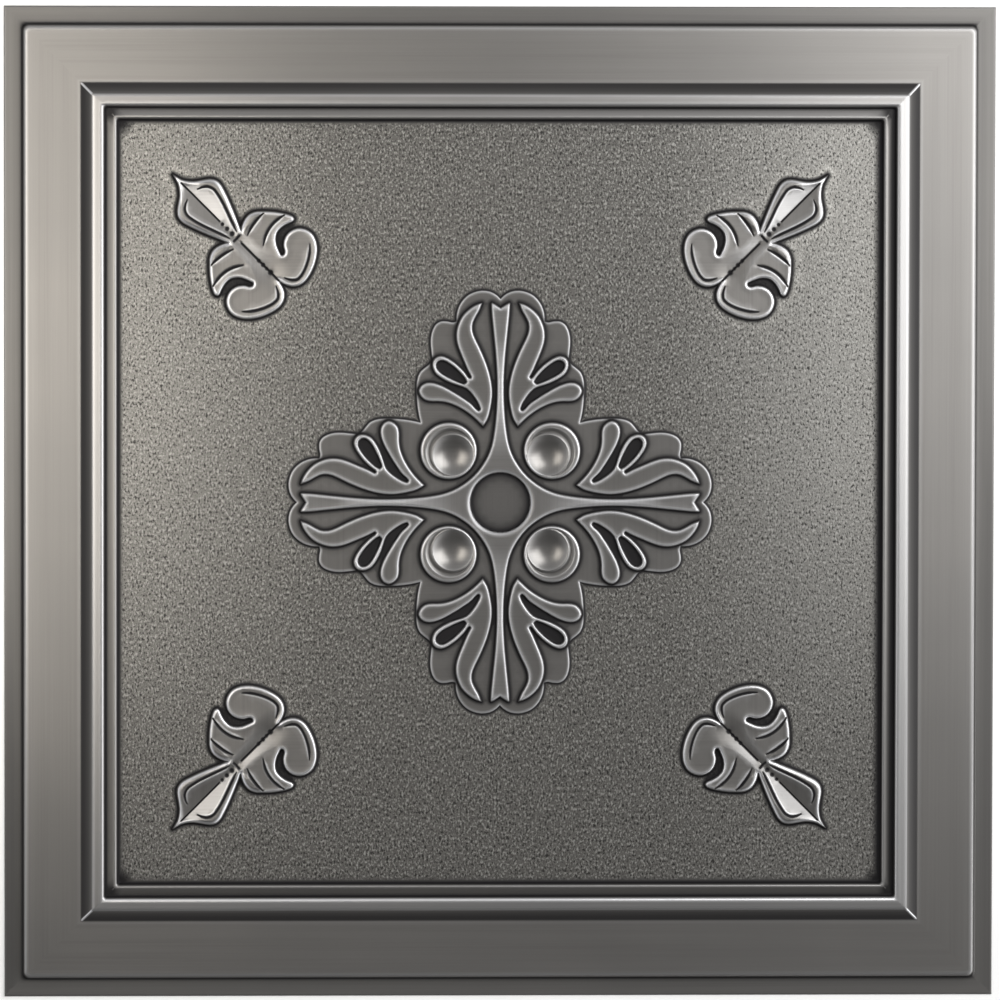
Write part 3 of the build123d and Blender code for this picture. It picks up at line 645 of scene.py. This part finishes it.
back_r = lambda c: float(np.interp(-c, -FR[:, 0], FR[:, 1]))
bv, bf = build([(c, back_r(c)) for c in BACK_LINES[1:]], [-0.6, 0.3, 1.4], [-1.0, -0.1, 0.8, 1.7], False)
reach = [(0.0, 0.0)] + [(T * .98 * math.cos(t), T * .98 * math.sin(t)) for t in np.arange(8) * math.pi / 4] \
        + [(T * .55 * math.cos(t), T * .55 * math.sin(t)) for t in (np.arange(8) + .5) * math.pi / 4]
bz = np.full(len(bv), 99.0)
for ox, oy in reach:
    q = folded(np.clip(bv + (ox, oy), -HALF + .6, HALF - .6))
    h = face_values(q)[0]
    bz = np.minimum(bz, h - math.sqrt(max(T * T - ox * ox - oy * oy, 0)))
inside = bv[:, 1] < 229
for t in (np.arange(8) + .5) * math.pi / 4:
    for far, under in ((1.5, .45), (2.6, .30)):
        h = face_values(folded(bv[inside] + (far * math.cos(t), far * math.sin(t))))[0]
        bz[inside] = np.minimum(bz[inside], h - under)
bz = np.maximum(bz, 0.0)
bz[bv[:, 1] > 293.0] = 0.0

# one closed shell for the eighth: face, back, and the cut edge of the sheet
nf = len(fv)
V3 = np.vstack([np.c_[fv, fz], np.c_[bv, bz]])
faces = [ff, bf[:, ::-1] + nf]
top = np.where(edge_top)[0]; top = top[np.argsort(fv[top, 0])]
low = np.where(np.abs(bv[:, 1] - HALF) < 1e-6)[0]; low = low[np.argsort(bv[low, 0])]
assert len(top) == len(low) and np.allclose(fv[top, 0], bv[low, 0], atol=1e-3), (len(top), len(low))
low = low + nf
rim = [(top[i], top[i + 1], low[i + 1]) for i in range(len(top) - 1)] + \
      [(top[i], low[i + 1], low[i]) for i in range(len(top) - 1)]
faces.append(np.array(rim)[:, ::-1])
F3 = np.vstack(faces)
is_back = np.r_[np.zeros(nf), np.ones(len(bv))]
# the dark attribute holds patina together with painted shade, and the bright-edge attribute holds rubbed edges
# together with painted highlights
att = {"dark": np.r_[dark, np.zeros(len(bv))], "rub_and_highlight": np.r_[bright, np.zeros(len(bv))],
       "stipple": np.r_[stip, np.zeros(len(bv))], "gloss": np.r_[gloss, np.zeros(len(bv))], "reverse": is_back}
zone = np.r_[FR[1, 0] >= 0, 0]

verts, tris, vals = [], [], {k: [] for k in att}
for swap in (0, 1):
    for sx in (1, -1):
        for sy in (1, -1):
            W = V3.copy()
            if swap: W[:, :2] = W[:, [1, 0]]
            W[:, 0] *= sx; W[:, 1] *= sy
            G = F3 + len(V3) * len(verts)
            if (swap + (sx < 0) + (sy < 0)) % 2: G = G[:, ::-1]
            verts.append(W); tris.append(G)
            for k in att: vals[k].append(att[k])
verts, tris = np.vstack(verts), np.vstack(tris)
vals = {k: np.concatenate(v) for k, v in vals.items()}
ax, ay = np.abs(verts[:, 0]), np.abs(verts[:, 1])
cc = np.maximum(ax, ay)
front = vals["reverse"] < .5
right, foot = front & (verts[:, 0] > 0) & (ax >= ay), front & (verts[:, 1] < 0) & (ay > ax)
# painted shade: the field's rim and the inner strip are darker on the right side and, less, on the lower side
for sel, amount in ((right, 1.0), (foot, 0.4)):
    side_shade = np.maximum(table(cc, [226.0, 228.8, 231.0, 232.2, 232.6], [0, .72, 1, 1, 0]),
                      table(cc, [235.4, 237.0, 238.3, 240.2, 240.6], [0, .72, .96, 1, 0])) * amount
    vals["dark"] = np.where(sel, np.maximum(vals["dark"], side_shade), vals["dark"])
# painted light: the foot of the band's outer step is lighter, most on the right side
vals["dark"] *= 1 - np.where(front, table(cc, [289.6, 290.3, 291.2, 292.6, 293.6], [0, 1, 1, .6, 0]), 0) * np.where(right, .52, .07)
head = front & (verts[:, 1] > 0) & (ay > ax)
# painted highlights on the bead on the lower and right sides, and on the inner strip's edge on the upper side
for sel, at, edge_highlight in ((foot, [240.9, 241.5, 242.3, 243.0, 243.9, 247.0, 248.3, 248.9], [0, .72, .78, .42, .17, .20, .30, 0]),
                      (right, [240.9, 241.6, 242.6, 244.0, 247.0, 248.3, 248.9], [0, .45, .45, .26, .24, .32, 0]),
                      (head, [234.0, 234.8, 238.2, 239.4], [0, .11, .09, 0])):
    vals["rub_and_highlight"] = np.where(sel, np.maximum(vals["rub_and_highlight"], table(cc, at, edge_highlight)), vals["rub_and_highlight"])
# painted shade on the side lips, more on their lower part, and in the upper half of the bowls
lip = front * table(cc, [292.9, 293.8, 301.0, 301.4], [0, 1, 1, 0]) * (ax > ay)
vals["dark"] = np.maximum(vals["dark"], lip * (.27 + np.where(verts[:, 0] < 0, .27 * table(verts[:, 1], [-170, -20], [1, 0]),
                                                                .17 * table(verts[:, 1], [0, 90], [1, 0]))))
bx = (ax - BOWL_AT) / BOWL_R * np.where(verts[:, 0] < 0, -1, 1)
by = (ay - BOWL_AT) / BOWL_R * np.where(verts[:, 1] < 0, -1, 1)
br = np.hypot(bx, by)
vals["dark"] = np.where(front & (br < 1), np.maximum(vals["dark"], .42 * table(by - .25 * np.abs(bx), [-.35, .45], [0, 1]) * table(br, [.7, .98], [1, .2])), vals["dark"])
# painted highlight on the flanks of the corner ornaments that look up and down the sheet, weaker on the lower half
mid, off = (ax + ay) / 2, (ay - ax) / math.sqrt(2)
flank_highlight = table(mid, [159.8, 160.9, 165, 193, 199], [0, .18, .34, .34, 0]) * (off < table(mid, [160, 170.5, 178, 186, 192, 199], [3.6, 6.6, 9.4, 8.0, 5.6, 2.4])) \
    + table(mid, [141, 148, 156, 159.7], [0, .22, .30, 0]) * (off < table(mid, [141, 148, 157], [6, 4.6, 3.6]))
flank_highlight = np.where(front & (off > .55) & (vals["dark"] < .3), flank_highlight, 0) * np.where(verts[:, 1] < 0, .55, .9)
vals["rub_and_highlight"] = np.maximum(vals["rub_and_highlight"], flank_highlight)
key = np.round(np.c_[verts[:, :2] * 400, verts[:, 2] * 50, vals["reverse"]]).astype(np.int64)
_, first, inv = np.unique(key, axis=0, return_index=True, return_inverse=True)
inv = inv.reshape(-1)
verts = verts[first]; vals = {k: v[first] for k, v in vals.items()}
tris = inv[tris]
tris = tris[(tris[:, 0] != tris[:, 1]) & (tris[:, 1] != tris[:, 2]) & (tris[:, 0] != tris[:, 2])]
print("sheet:", len(verts), "verts", len(tris), "triangles; face eighth", len(ff), "back eighth", len(bf))

me = bpy.data.meshes.new("formed_sheet")
me.vertices.add(len(verts)); me.vertices.foreach_set("co", (verts / 1000).astype(np.float32).ravel())
me.loops.add(len(tris) * 3); me.loops.foreach_set("vertex_index", tris.astype(np.int32).ravel())
me.polygons.add(len(tris)); me.polygons.foreach_set("loop_start", (np.arange(len(tris)) * 3).astype(np.int32))
me.update(calc_edges=True)
me.validate()
me.polygons.foreach_set("use_smooth", np.ones(len(me.polygons), bool))
for k, v in vals.items():
    a = me.attributes.new(k, "FLOAT", "POINT"); a.data.foreach_set("value", v.astype(np.float32))
# crisp mitres on the slope and a crisp cut edge round the lip
ev = np.empty(len(me.edges) * 2, np.int32); me.edges.foreach_get("vertices", ev); ev = ev.reshape(-1, 2)
A, B = verts[ev[:, 0]], verts[ev[:, 1]]
dA, dB = np.abs(np.abs(A[:, 0]) - np.abs(A[:, 1])), np.abs(np.abs(B[:, 0]) - np.abs(B[:, 1]))
cA, cB = np.abs(A[:, :2]).max(1), np.abs(B[:, :2]).max(1)
mitre = (dA < .01) & (dB < .01) & (np.minimum(cA, cB) > 246.9) & (np.maximum(cA, cB) < 255.9)
cut = (cA > HALF - .01) & (cB > HALF - .01) & (np.abs(A[:, 2] - B[:, 2]) < .01)
sh = me.attributes.new("sharp_edge", "BOOLEAN", "EDGE")
sh.data.foreach_set("value", mitre | cut)
me.update()
tile = bpy.data.objects.new("formed_sheet", me)
bpy.context.scene.collection.objects.link(tile)
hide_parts("ceiling_tile")
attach(tile, "root")


# ------------------------------------------------------------------ materials
class Nodes:
    def __init__(self, name):
        self.mat = bpy.data.materials.new(name)
        self.mat.use_nodes = True
        self.t = self.mat.node_tree
        self.t.nodes.clear()
        self.out = self.t.nodes.new("ShaderNodeOutputMaterial")
        self.bsdf = self.t.nodes.new("ShaderNodeBsdfPrincipled")
        self.t.links.new(self.bsdf.outputs[0], self.out.inputs["Surface"])

    def put(self, sock, v):
        if isinstance(v, bpy.types.NodeSocket): self.t.links.new(v, sock)
        elif v is not None:
            if hasattr(sock.default_value, "__len__") and len(sock.default_value) == 4 and len(v) == 3: v = (*v, 1)
            sock.default_value = v

    def attr(self, name):
        n = self.t.nodes.new("ShaderNodeAttribute"); n.attribute_name = name
        return n.outputs["Fac"]

    def math(self, op, a, b=None, c=None, clamp=False):
        n = self.t.nodes.new("ShaderNodeMath"); n.operation = op; n.use_clamp = clamp
        self.put(n.inputs[0], a)
        if b is not None: self.put(n.inputs[1], b)
        if c is not None: self.put(n.inputs[2], c)
        return n.outputs[0]

    def mix(self, f, a, b, kind="MIX"):
        n = self.t.nodes.new("ShaderNodeMix"); n.data_type = "RGBA"; n.blend_type = kind
        self.put(n.inputs[0], f); self.put(n.inputs[6], a); self.put(n.inputs[7], b)
        return n.outputs[2]

    def lerp(self, f, a, b):
        n = self.t.nodes.new("ShaderNodeMix"); n.data_type = "FLOAT"
        self.put(n.inputs[0], f); self.put(n.inputs[2], a); self.put(n.inputs[3], b)
        return n.outputs[0]

    def noise(self, vec, scale, detail=2.0, rough=0.5, distort=0.0):
        n = self.t.nodes.new("ShaderNodeTexNoise")
        self.put(n.inputs["Vector"], vec)
        n.inputs["Scale"].default_value = scale; n.inputs["Detail"].default_value = detail
        n.inputs["Roughness"].default_value = rough; n.inputs["Distortion"].default_value = distort
        return n.outputs["Fac"]

    def ramp(self, f, stops):
        n = self.t.nodes.new("ShaderNodeMapRange"); n.clamp = True
        self.put(n.inputs["Value"], f)
        for k, v in zip(("From Min", "From Max", "To Min", "To Max"), stops): n.inputs[k].default_value = v
        return n.outputs["Result"]


def pewter():
    m = Nodes("antique_pewter_vinyl")
    tc = m.t.nodes.new("ShaderNodeTexCoord").outputs["Object"]
    sep = m.t.nodes.new("ShaderNodeSeparateXYZ"); m.put(sep.inputs[0], tc)
    x, y = sep.outputs[0], sep.outputs[1]
    ax, ay = m.math("ABSOLUTE", x), m.math("ABSOLUTE", y)
    across = m.math("MAXIMUM", ax, ay)
    side = m.math("GREATER_THAN", ax, ay)
    along = m.lerp(side, x, y)
    comb = m.t.nodes.new("ShaderNodeCombineXYZ")
    m.put(comb.inputs[0], m.math("MULTIPLY", along, 6.0))
    m.put(comb.inputs[1], m.math("MULTIPLY", across, 900.0))
    m.put(comb.inputs[2], m.math("MULTIPLY", side, 7.3))
    brush = m.noise(comb.outputs[0], 1.0, 3.0, 0.6)
    comb2 = m.t.nodes.new("ShaderNodeCombineXYZ")
    m.put(comb2.inputs[0], m.math("MULTIPLY", along, 3.0))
    m.put(comb2.inputs[1], m.math("MULTIPLY", across, 160.0))
    m.put(comb2.inputs[2], m.math("MULTIPLY", side, 3.1))
    streak = m.noise(comb2.outputs[0], 1.0, 2.0, 0.5)
    cloud = m.noise(tc, 9.0, 2.0, 0.5)
    comb3 = m.t.nodes.new("ShaderNodeCombineXYZ")
    m.put(comb3.inputs[0], m.math("MULTIPLY", x, 1.28))
    m.put(comb3.inputs[1], m.math("MULTIPLY", y, 0.82))
    grain = m.noise(comb3.outputs[0], 680.0, 1.5, 0.55, 0.45)
    fine = m.noise(comb3.outputs[0], 1350.0, 1.0, 0.5)
    stip, dark, rub_and_highlight, back = m.attr("stipple"), m.attr("dark"), m.attr("rub_and_highlight"), m.attr("reverse")
    # the slope's mitres are rubbed bright with a painted highlight along the ridge, and lose their patina
    split = m.math("ABSOLUTE", m.math("SUBTRACT", ax, ay))
    mitre = m.math("MULTIPLY", m.ramp(split, (0.0005, 0.0014, 1.0, 0.0)), m.ramp(across, (0.2480, 0.2488, 0.0, 1.0)))
    mitre = m.math("MULTIPLY", mitre, m.ramp(across, (0.2547, 0.2554, 1.0, 0.0)))
    mitre = m.math("MULTIPLY", mitre, m.math("SUBTRACT", 1.0, back))
    rub_and_highlight = m.math("MAXIMUM", rub_and_highlight, m.math("MULTIPLY", mitre, 0.75))
    dark = m.math("MULTIPLY", dark, m.math("SUBTRACT", 1.0, m.math("MULTIPLY", mitre, 0.92)))
    gloss = m.attr("gloss")
    flat = m.math("SUBTRACT", 1.0, stip)
    # plain film: warm grey with faint streaks
    base = m.mix(m.ramp(streak, (0.3, 0.7, 0.0, 1.0)), (0.158, 0.152, 0.146), (0.184, 0.178, 0.171))
    base = m.mix(m.ramp(brush, (0.25, 0.75, 0.0, 1.0)), base, (0.196, 0.190, 0.183))
    base = m.mix(m.ramp(cloud, (0.35, 0.65, 0.0, 0.35)), base, (0.150, 0.147, 0.143))
    # stippled field: short dark pits in a finely grained grey, with painted highlights on the grain's crests
    pit = m.ramp(grain, (0.345, 0.44, 1.0, 0.0))
    crest_highlight = m.ramp(grain, (0.54, 0.68, 0.0, 1.0))
    field = m.mix(m.ramp(fine, (0.35, 0.65, 0.0, 1.0)), (0.150, 0.145, 0.134), (0.222, 0.215, 0.201))
    # painted light: the field is lighter towards the left and right sides, most in the upper half and on the right
    side_light = m.math("MULTIPLY", m.ramp(ax, (0.10, 0.205, 0.0, 1.0)), m.ramp(y, (-0.16, 0.02, 0.16, 1.0)))
    side_light = m.math("MULTIPLY", side_light, m.ramp(x, (-0.05, 0.15, 0.64, 1.0)))
    field = m.mix(side_light, field, m.mix(m.ramp(fine, (0.35, 0.65, 0.0, 1.0)), (0.290, 0.283, 0.265), (0.390, 0.382, 0.360)))
    field = m.mix(m.math("MULTIPLY", crest_highlight, 0.75), field, (0.600, 0.592, 0.562))
    field = m.mix(m.math("MULTIPLY", pit, 0.88), field, (0.022, 0.021, 0.019))
    col = m.mix(stip, base, field)
    # rubbed edges and painted highlights are mixed towards silver
    silver = m.math("MULTIPLY", rub_and_highlight, m.math("ADD", 0.75, m.math("MULTIPLY", brush, 0.45)))
    col = m.mix(silver, col, (0.800, 0.804, 0.828))
    # patina and painted shade are mixed towards near black
    col = m.mix(m.math("MULTIPLY", dark, 0.97), col, (0.009, 0.0085, 0.010))
    col = m.mix(back, col, m.mix(m.ramp(cloud, (0.3, 0.7, 0.0, 1.0)), (0.30, 0.30, 0.305), (0.34, 0.34, 0.345)))
    m.put(m.bsdf.inputs["Base Color"], col)
    face = m.math("SUBTRACT", 1.0, back)
    m.put(m.bsdf.inputs["Metallic"], m.math("MULTIPLY", face, m.math("SUBTRACT", 0.88, m.math("MULTIPLY", dark, 0.6))))
    rough = m.math("ADD", 0.36, m.math("MULTIPLY", brush, 0.04))
    rough = m.lerp(stip, rough, 0.32)
    rough = m.lerp(rub_and_highlight, rough, 0.33)
    rough = m.lerp(dark, rough, 0.50)
    rough = m.lerp(gloss, rough, 0.29)
    rough = m.lerp(back, rough, 0.48)
    m.put(m.bsdf.inputs["Roughness"], rough)
    m.put(m.bsdf.inputs["Specular IOR Level"], m.math("SUBTRACT", 0.5, m.math("MULTIPLY", dark, 0.42)))
    h = m.math("ADD", m.math("MULTIPLY", pit, -0.12), m.math("MULTIPLY", grain, 0.7))
    h = m.math("MULTIPLY", m.math("ADD", h, m.math("MULTIPLY", fine, 0.1)), stip)
    h = m.math("ADD", h, m.math("MULTIPLY", m.math("MULTIPLY", brush, flat), 0.05))
    b = m.t.nodes.new("ShaderNodeBump")
    b.inputs["Strength"].default_value = 1.0; b.inputs["Distance"].default_value = 0.00012
    m.put(b.inputs["Height"], h)
    m.put(m.bsdf.inputs["Normal"], b.outputs[0])
    return m.mat


tile.data.materials.append(pewter())

# ------------------------------------------------------------------ floor, light and camera
floor_mesh = bpy.data.meshes.new("floor")
s = 6.0
floor_mesh.from_pydata([(-s, -s, 0), (s, -s, 0), (s, s, 0), (-s, s, 0)], [], [(0, 1, 2, 3)])
floor = bpy.data.objects.new("floor", floor_mesh)
bpy.context.scene.collection.objects.link(floor)
fm = Nodes("floor_pale")
fm.bsdf.inputs["Base Color"].default_value = (0.93, 0.93, 0.93, 1)
fm.bsdf.inputs["Roughness"].default_value = 0.9
floor_mesh.materials.append(fm.mat)


def lamp(name, at, size, power, to=(0, 0, 0), colour=(1, 1, 1), size_y=None, spread=180):
    d = bpy.data.lights.new(name, "AREA")
    d.spread = math.radians(spread)
    d.shape = "RECTANGLE"; d.size = size; d.size_y = size_y or size
    d.energy = power; d.color = colour
    o = bpy.data.objects.new(name, d)
    o.location = at
    o.rotation_euler = (Vector(to) - Vector(at)).to_track_quat("-Z", "Y").to_euler()
    bpy.context.scene.collection.objects.link(o)
    return o


lamp("left", (-0.46, 0.135, 0.72), 0.5, 0.70, to=(-0.33, 0.11, 0), colour=(1.0, 0.945, 0.86), spread=70)
lamp("right", (0.53, 0.245, 0.72), 0.64, 5.0, to=(0.24, 0.10, 0), colour=(1.0, 0.99, 0.97), size_y=0.54)

world = bpy.data.worlds.new("studio")
bpy.context.scene.world = world
world.use_nodes = True
wt = world.node_tree
wt.nodes.clear()
wn = Nodes.__new__(Nodes)
wn.t = wt
wout = wt.nodes.new("ShaderNodeOutputWorld")
wbg = wt.nodes.new("ShaderNodeBackground")
wt.links.new(wbg.outputs[0], wout.inputs[0])
wbg.inputs[0].default_value = (1, 1, 1, 1)
wsep = wt.nodes.new("ShaderNodeSeparateXYZ")
wt.links.new(wt.nodes.new("ShaderNodeTexCoord").outputs["Generated"], wsep.inputs[0])
wx2 = wn.math("MULTIPLY", wsep.outputs[0], wsep.outputs[0])
wy2 = wn.math("MULTIPLY", wsep.outputs[1], wsep.outputs[1])
wside = wn.math("DIVIDE", wx2, wn.math("ADD", wn.math("ADD", wx2, wy2), 0.001))
sides = wn.ramp(wsep.outputs[0], (-0.4, 0.4, 1.15, 3.0))
ends = wn.ramp(wsep.outputs[1], (-0.4, 0.4, 0.07, 0.50))
horizon = wn.lerp(wside, ends, sides)
overhead = wn.ramp(wsep.outputs[2], (0.45, 0.8, 0.0, 1.0))
above = wn.math("ADD", wn.ramp(wsep.outputs[1], (-0.42, -0.04, 0.09, 0.355)), wn.ramp(wsep.outputs[1], (0.05, 0.5, 0.0, 0.26)))
wt.links.new(wn.lerp(overhead, horizon, above), wbg.inputs[1])

cam = bpy.data.cameras.new("camera")
cam.sensor_width = 36.0
cam.lens = 355.3237
co = bpy.data.objects.new("camera", cam)
co.location = (-0.245923, 0.318364, 6.0)
co.rotation_euler = (-0.0528366, -0.0408681, 0.0019142)
bpy.context.scene.collection.objects.link(co)
bpy.context.scene.camera = co
bpy.context.scene.view_settings.view_transform = "Standard"
